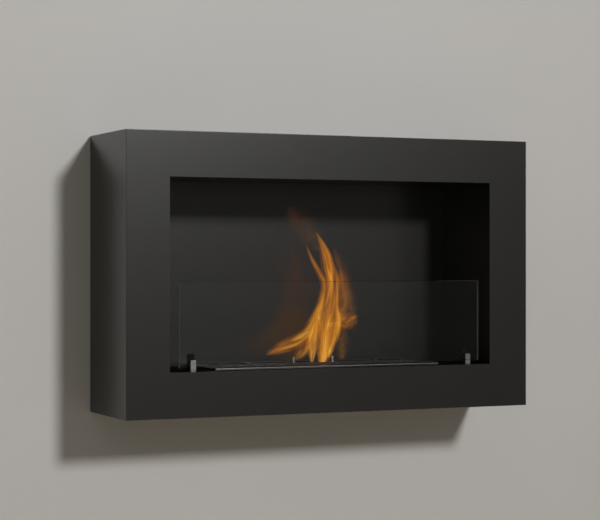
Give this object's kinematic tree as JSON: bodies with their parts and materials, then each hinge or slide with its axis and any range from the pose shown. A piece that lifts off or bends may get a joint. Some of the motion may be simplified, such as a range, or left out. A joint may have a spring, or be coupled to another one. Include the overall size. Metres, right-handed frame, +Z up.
{
  "type": "wall-mounted fireplace",
  "caption": "Wall-hung bio-ethanol fireplace: black folded casing with one window, sheet firebox, loose glass pane in clips, lift-out steel burner with sliding lids, hook rail",
  "frame": {"origin": "Centre of the back, on the wall plane: half way along the width and the height of the casing.", "axes": "+X to the viewer's right along the width, +Y from the room into the wall, +Z up."},
  "size_m": [0.8, 0.2, 0.5],
  "materials": {
    "powder_black": "satin",
    "stainless": "brushed",
    "zinc_sheet": "satin",
    "zinc_fasteners": "satin",
    "black_fasteners": "satin",
    "silicone_black": "matte",
    "clear_glass": "polished",
    "ceramic_fibre": "matte",
    "flame": "glowing gas, no piece of its own"
  },
  "bodies": {
    "casing": {"front_casing": "powder_black", "rear_panel": "zinc_sheet", "rear_panel_screws": "zinc_fasteners", "wall_rail": "zinc_sheet", "firebox_left_wall": "powder_black", "firebox_right_wall": "powder_black", "firebox_ceiling": "powder_black", "firebox_floor": "powder_black", "firebox_back": "powder_black", "firebox_studs": "zinc_fasteners", "firebox_nuts": "zinc_fasteners", "firebox_rivets": "zinc_fasteners", "clip_left": "stainless", "clip_right": "stainless", "clip_backplate_left": "powder_black", "clip_backplate_right": "powder_black", "clip_liner_left": "silicone_black", "clip_liner_right": "silicone_black", "clip_studs": "zinc_fasteners", "clip_nuts": "zinc_fasteners", "clip_back_screws": "black_fasteners"},
    "glass": {"glass_pane": "clear_glass"},
    "burner": {"burner_top_plate": "stainless", "burner_tank": "stainless", "burner_wool": "ceramic_fibre", "lid_guide_front": "powder_black", "lid_guide_rear": "powder_black", "guide_rivets": "powder_black", "lid_stop_pins": "stainless"},
    "left_lid": {"lid_left": "stainless", "lid_knob_left": "stainless"},
    "right_lid": {"lid_right": "stainless", "lid_knob_right": "stainless"}
  },
  "joints": [
    {"name": "glass_lift", "type": "slide", "parent": "casing", "child": "glass", "axis": [0, 0, 1], "range_m": [0, 0.04]},
    {"name": "burner_lift", "type": "slide", "parent": "casing", "child": "burner", "axis": [0, 0, 1], "range_m": [0, 0.08]},
    {"name": "left_lid_slide", "type": "slide", "parent": "burner", "child": "left_lid", "axis": [1, 0, 0], "range_m": [0, 0.0317]},
    {"name": "right_lid_slide", "type": "slide", "parent": "burner", "child": "right_lid", "axis": [-1, 0, 0], "range_m": [0, 0.0317]}
  ]
}
